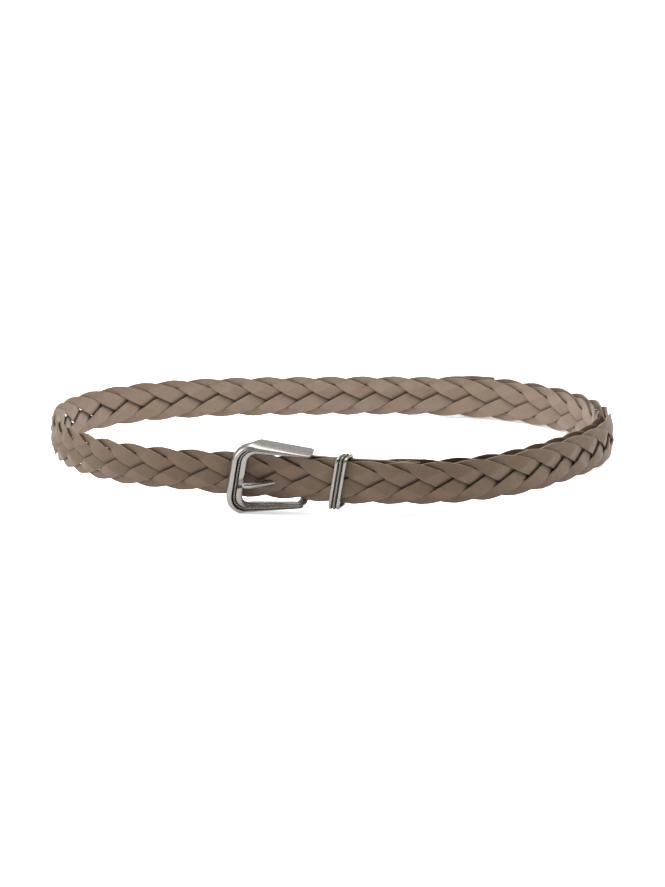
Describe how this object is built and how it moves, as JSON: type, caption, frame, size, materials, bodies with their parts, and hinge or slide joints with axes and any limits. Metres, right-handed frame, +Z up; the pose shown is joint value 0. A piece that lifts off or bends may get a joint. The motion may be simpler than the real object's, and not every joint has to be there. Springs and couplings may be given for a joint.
{
  "type": "braided belt",
  "caption": "Flat plaited leather waist belt, fastened in a loop, with a rounded cast buckle with a rope line, a prong and a metal keeper over the overlapping tail.",
  "frame": {"origin": "middle of the belt's outline on the floor it rests on", "axes": "+X along the loop's long axis to the wearer's left as seen from the front, -Y towards the buckle side, +Z up"},
  "size_m": [0.3648, 0.2728, 0.046],
  "materials": {
    "leather": "matte taupe leather",
    "metal": "antique silver, polished on the raised parts and darkened in the grooves"
  },
  "bodies": {
    "root": {"plait_strand_1": "leather", "plait_strand_2": "leather", "plait_strand_3": "leather", "plait_strand_4": "leather", "plait_strand_5": "leather", "buckle_tab": "leather", "tail_tip": "leather", "buckle_frame": "metal", "prong": "metal", "keeper": "metal"}
  },
  "joints": []
}
